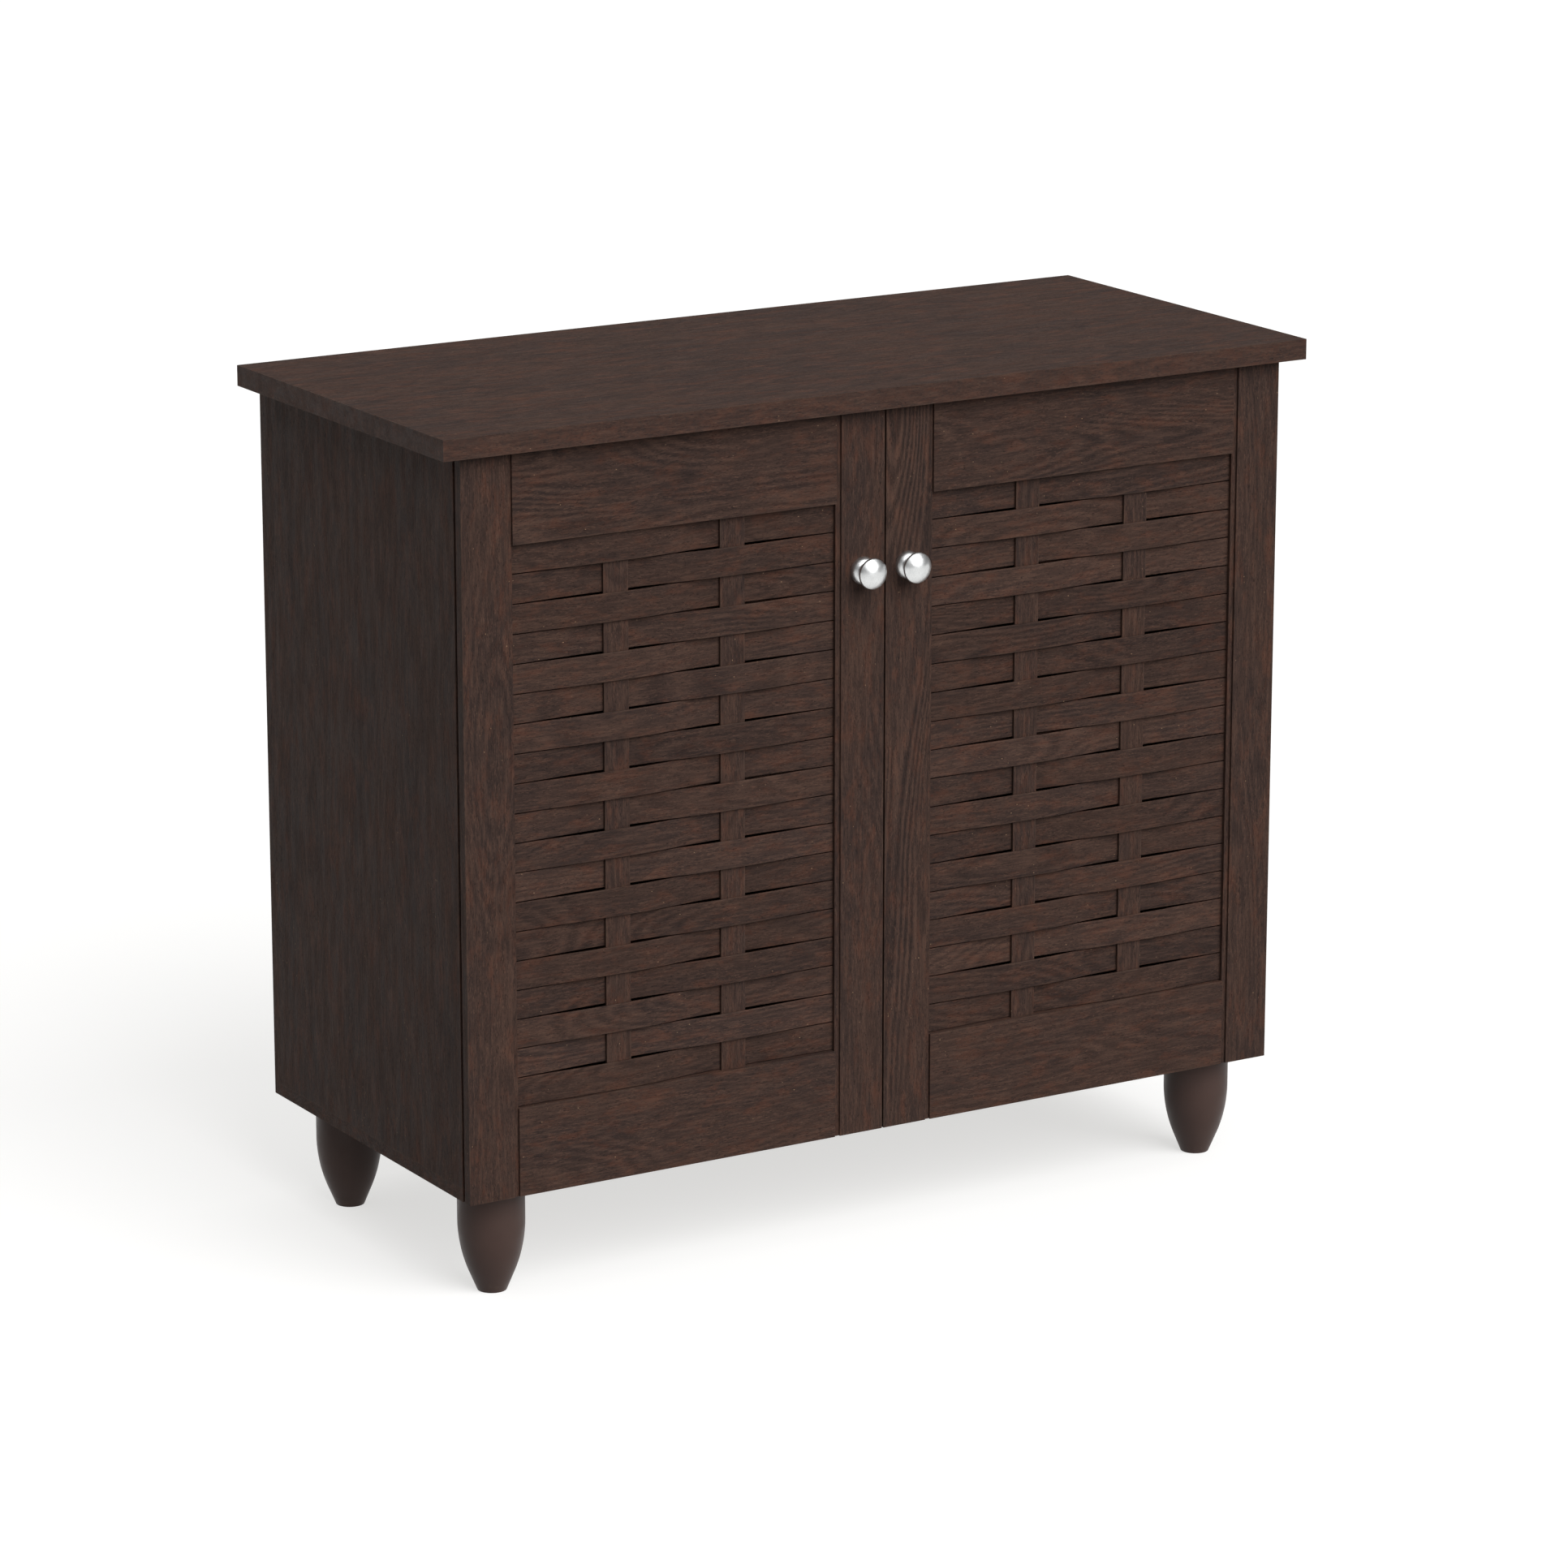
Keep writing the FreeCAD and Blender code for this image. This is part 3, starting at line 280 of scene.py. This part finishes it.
def painted(name):
    """Smooth dark brown paint over turned wood, with a faint orange peel."""
    graph = Graph(name, (0.062, 0.040, 0.034))
    place = graph.place()
    cloud = graph.ease(graph.noise(place, 22.0, 3.0, 0.55), 0.3, 0.7)
    base = graph.blend(cloud, colour(0.061, 0.0360, 0.0300), colour(0.070, 0.0415, 0.0345))
    height = graph.parts(place)[2]
    scuff_noise = graph.noise(place, 160.0, 4.0, 0.65)
    near_floor = graph.ease(height, 0.002, 0.012, 1.0, 0.0)
    scuff = graph.math("MULTIPLY", near_floor, graph.ease(scuff_noise, 0.45, 0.7))
    base = graph.blend(graph.math("MULTIPLY", scuff, 0.5), base, PALE_WEAR_AND_HIGHLIGHT)
    peel = graph.noise(place, 900.0, 2.0)
    graph.surface(
        Base_Color=base,
        Roughness=graph.ease(graph.noise(place, 60.0, 3.0), 0.3, 0.7, 0.34, 0.46),
        Specular_IOR_Level=0.16,
        Normal=graph.bump(peel, 0.00005, 0.5),
    )
    return graph.material


def satin_metal(name, tone, roughness, speckle_scale):
    """Satin plated metal, finely speckled, with faint handling marks."""
    graph = Graph(name, tone)
    place = graph.place()
    speckle = graph.noise(place, speckle_scale, 2.0, 0.6)
    marks = graph.ease(graph.noise(place, 140.0, 4.0, 0.6), 0.35, 0.7)
    bright = colour(*tone)
    dull = colour(*(0.84 * part for part in tone))
    grey = colour(*(0.70 * part for part in tone))
    base = graph.blend(graph.math("MULTIPLY", marks, 0.6), bright, dull)
    base = graph.blend(graph.ease(speckle, 0.46, 0.64, 0.0, 0.5), base, grey)
    graph.surface(
        Base_Color=base,
        Metallic=1.0,
        Roughness=graph.ease(marks, 0.0, 1.0, roughness, roughness + 0.08),
        Normal=graph.bump(speckle, 0.00006, 0.5),
    )
    return graph.material


def fibreboard(name):
    """Thin dark printed fibreboard, with short felted fibres."""
    graph = Graph(name, (0.050, 0.036, 0.031))
    place = graph.place()
    fibre = graph.noise(graph.vector("MULTIPLY", place, (260, 900, 1400)), 1.0, 4.0, 0.65)
    cloud = graph.noise(graph.vector("MULTIPLY", place, (4, 9, 26)), 1.0, 3.0, 0.55)
    base = graph.blend(graph.ease(cloud, 0.3, 0.7), BROWN, PALE_WEAR_AND_HIGHLIGHT)
    base = graph.blend(graph.math("MULTIPLY", graph.ease(fibre, 0.45, 0.72), 0.55), base, FIBRE)
    graph.surface(
        Base_Color=base,
        Roughness=graph.ease(fibre, 0.2, 0.8, 0.62, 0.78),
        Specular_IOR_Level=0.2,
        Normal=graph.bump(fibre, 0.0001, 0.5),
    )
    return graph.material


def beech(name):
    """Bare pale dowel wood, with short flecks along its length."""
    graph = Graph(name, (0.60, 0.45, 0.28))
    place = graph.place()
    fleck = graph.noise(graph.vector("MULTIPLY", place, (1500, 1500, 220)), 1.0, 3.0, 0.6)
    pale, brown = colour(0.62, 0.46, 0.29), colour(0.42, 0.28, 0.16)
    base = graph.blend(graph.ease(fleck, 0.4, 0.7), pale, brown)
    graph.surface(Base_Color=base, Roughness=graph.ease(fleck, 0.3, 0.7, 0.55, 0.7))
    return graph.material


# ---- dressing the CAD nodes ----


def dress(node, material):
    slots = NODES[node].data.materials
    slots.clear()
    slots.append(material)


def ease_edges(node, width, segments=2):
    """Rounds the node's sharp edges by a width, in metres, with modifiers only."""
    piece = NODES[node]
    weld = piece.modifiers.new("weld", "WELD")
    weld.merge_threshold = SEAM
    bevel = piece.modifiers.new("eased_edges", "BEVEL")
    bevel.width = width
    bevel.segments = segments
    bevel.limit_method = "ANGLE"
    bevel.angle_limit = math.radians(SHARP_ANGLE)
    bevel.use_clamp_overlap = True
    piece.modifiers.new("even_normals", "WEIGHTED_NORMAL").weight = 60


def smooth_turning(node):
    """Closes the tiny facets at a turned piece's tip, which would sparkle."""
    piece = NODES[node]
    piece.modifiers.new("weld", "WELD").merge_threshold = TIP
    piece.modifiers.new("even_normals", "WEIGHTED_NORMAL").keep_sharp = True


def dress_carcass():
    boards = {
        "top_panel": "X",
        "left_side_panel": "Z",
        "right_side_panel": "Z",
        "bottom_panel": "X",
        "lower_shelf": "X",
        "middle_shelf": "X",
        "upper_shelf": "X",
    }
    for seed, (node, along) in enumerate(boards.items(), start=1):
        outer = node in ("top_panel", "left_side_panel", "right_side_panel")
        figure = OUTER_BOARD_FIGURE if outer else INNER_BOARD_FIGURE
        dress(node, oak(f"oak_{node}", node, along, seed, figure, banded=node == "top_panel"))
        ease_edges(node, BOARD_EDGE)
    dress("back_panel", fibreboard("back_fibreboard"))
    paint = painted("leg_paint")
    for node in ("front_left_leg", "front_right_leg", "rear_left_leg", "rear_right_leg"):
        dress(node, paint)
    dress("wooden_dowels", beech("dowel_beech"))


def dress_doors():
    weave_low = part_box("left_bottom_rail")[1].z
    weave_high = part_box("left_top_rail")[0].z
    pitch = (weave_high - weave_low) / SLAT_ROWS
    gap = 2 * (weave_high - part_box("left_odd_slats")[1].z)
    seed = FIRST_DOOR_SEED
    for side in ("left", "right"):
        for part, along in (
            ("outer_stile", "Z"),
            ("inner_stile", "Z"),
            ("top_rail", "X"),
            ("bottom_rail", "X"),
            ("outer_batten", "Z"),
            ("inner_batten", "Z"),
        ):
            node = f"{side}_{part}"
            dress(node, oak(f"oak_{node}", node, along, seed, FIGURED.get(node, DOOR_FIGURE)))
            ease_edges(node, FRAME_EDGE)
            seed += 1
        for part in ("odd_slats", "even_slats"):
            node = f"{side}_{part}"
            dress(node, oak(f"oak_{node}", node, "X", seed, SLAT_FIGURE, (pitch, gap)))
            ease_edges(node, SLAT_EDGE, 3)
            seed += 1


DOOR_HARDWARE = (
    "knob_screw",
    "hinge_cups",
    "hinge_pins",
    "cup_screws",
    "hinge_arms",
    "hinge_plates",
    "hinge_plate_screws",
)
CARCASS_HARDWARE = (
    "shelf_pins",
    "leg_bolts",
    "leg_tee_nuts",
    "carcass_screws",
    "cam_locks",
    "cam_bolts",
    "back_nails",
)


def dress_metal():
    nickel = satin_metal("satin_nickel", (0.74, 0.75, 0.75), 0.33, 1500.0)
    zinc = satin_metal("zinc_plate", (0.62, 0.63, 0.65), 0.30, 1800.0)
    for side in ("left", "right"):
        dress(f"{side}_knob", nickel)
        smooth_turning(f"{side}_knob")
        for part in DOOR_HARDWARE:
            dress(f"{side}_{part}", zinc)
    for node in CARCASS_HARDWARE:
        dress(node, zinc)


# ---- floor, lights and camera ----


def add_floor():
    """A pale floor, slightly self-lit, that throws no light onto the cabinet's matt surfaces."""
    reach = 60.0
    corners = [(-reach, -reach, 0), (reach, -reach, 0), (reach, reach, 0), (-reach, reach, 0)]
    mesh = bpy.data.meshes.new("floor")
    mesh.from_pydata(corners, [], [(0, 1, 2, 3)])
    floor = bpy.data.objects.new("floor", mesh)
    bpy.context.scene.collection.objects.link(floor)
    material = bpy.data.materials.new("pale_floor")
    material.use_nodes = True
    shader = material.node_tree.nodes["Principled BSDF"]
    shader.inputs["Base Color"].default_value = colour(0.42, 0.42, 0.42)
    shader.inputs["Roughness"].default_value = 0.9
    shader.inputs["Specular IOR Level"].default_value = 0.0
    shader.inputs["Emission Color"].default_value = colour(1.0, 0.995, 0.98)
    shader.inputs["Emission Strength"].default_value = 0.652
    mesh.materials.append(material)
    floor.visible_diffuse = False


def add_sun(name, azimuth, elevation, strength, softness):
    """A soft far light. Azimuth is measured from the front towards the right, in degrees."""
    light = bpy.data.lights.new(name, "SUN")
    light.energy = strength
    light.angle = math.radians(softness)
    lamp = bpy.data.objects.new(name, light)
    across = math.cos(math.radians(elevation))
    source = Vector((
        across * math.sin(math.radians(azimuth)),
        -across * math.cos(math.radians(azimuth)),
        math.sin(math.radians(elevation)),
    ))
    lamp.rotation_euler = source.to_track_quat("Z", "Y").to_euler()
    bpy.context.scene.collection.objects.link(lamp)


def add_lights():
    world = bpy.data.worlds.new("studio")
    world.use_nodes = True
    backdrop = world.node_tree.nodes["Background"]
    backdrop.inputs["Color"].default_value = colour(1.0, 1.0, 1.0)
    backdrop.inputs["Strength"].default_value = 0.20
    bpy.context.scene.world = world
    add_sun("key", azimuth=12, elevation=37, strength=2.85, softness=55)
    add_sun("overhead", azimuth=0, elevation=86, strength=1.0, softness=90)


def add_camera():
    """Looks down at the cabinet from its front left, placed to match the photo without shift."""
    azimuth = math.radians(31.15)
    elevation = math.radians(14.84)
    distance = 5.5
    aim = Vector((-0.036, -0.0645, 0.4035))
    back = Vector((
        -math.sin(azimuth) * math.cos(elevation),
        -math.cos(azimuth) * math.cos(elevation),
        math.sin(elevation),
    ))
    data = bpy.data.cameras.new("camera")
    data.lens = 138.0
    data.sensor_width = 36.0
    data.clip_end = 200.0
    camera = bpy.data.objects.new("camera", data)
    camera.location = aim + distance * back
    camera.rotation_euler = back.to_track_quat("Z", "Y").to_euler()
    bpy.context.scene.collection.objects.link(camera)
    bpy.context.scene.camera = camera


dress_carcass()
dress_doors()
dress_metal()
add_floor()
add_lights()
add_camera()
bpy.context.scene.view_settings.view_transform = "Standard"
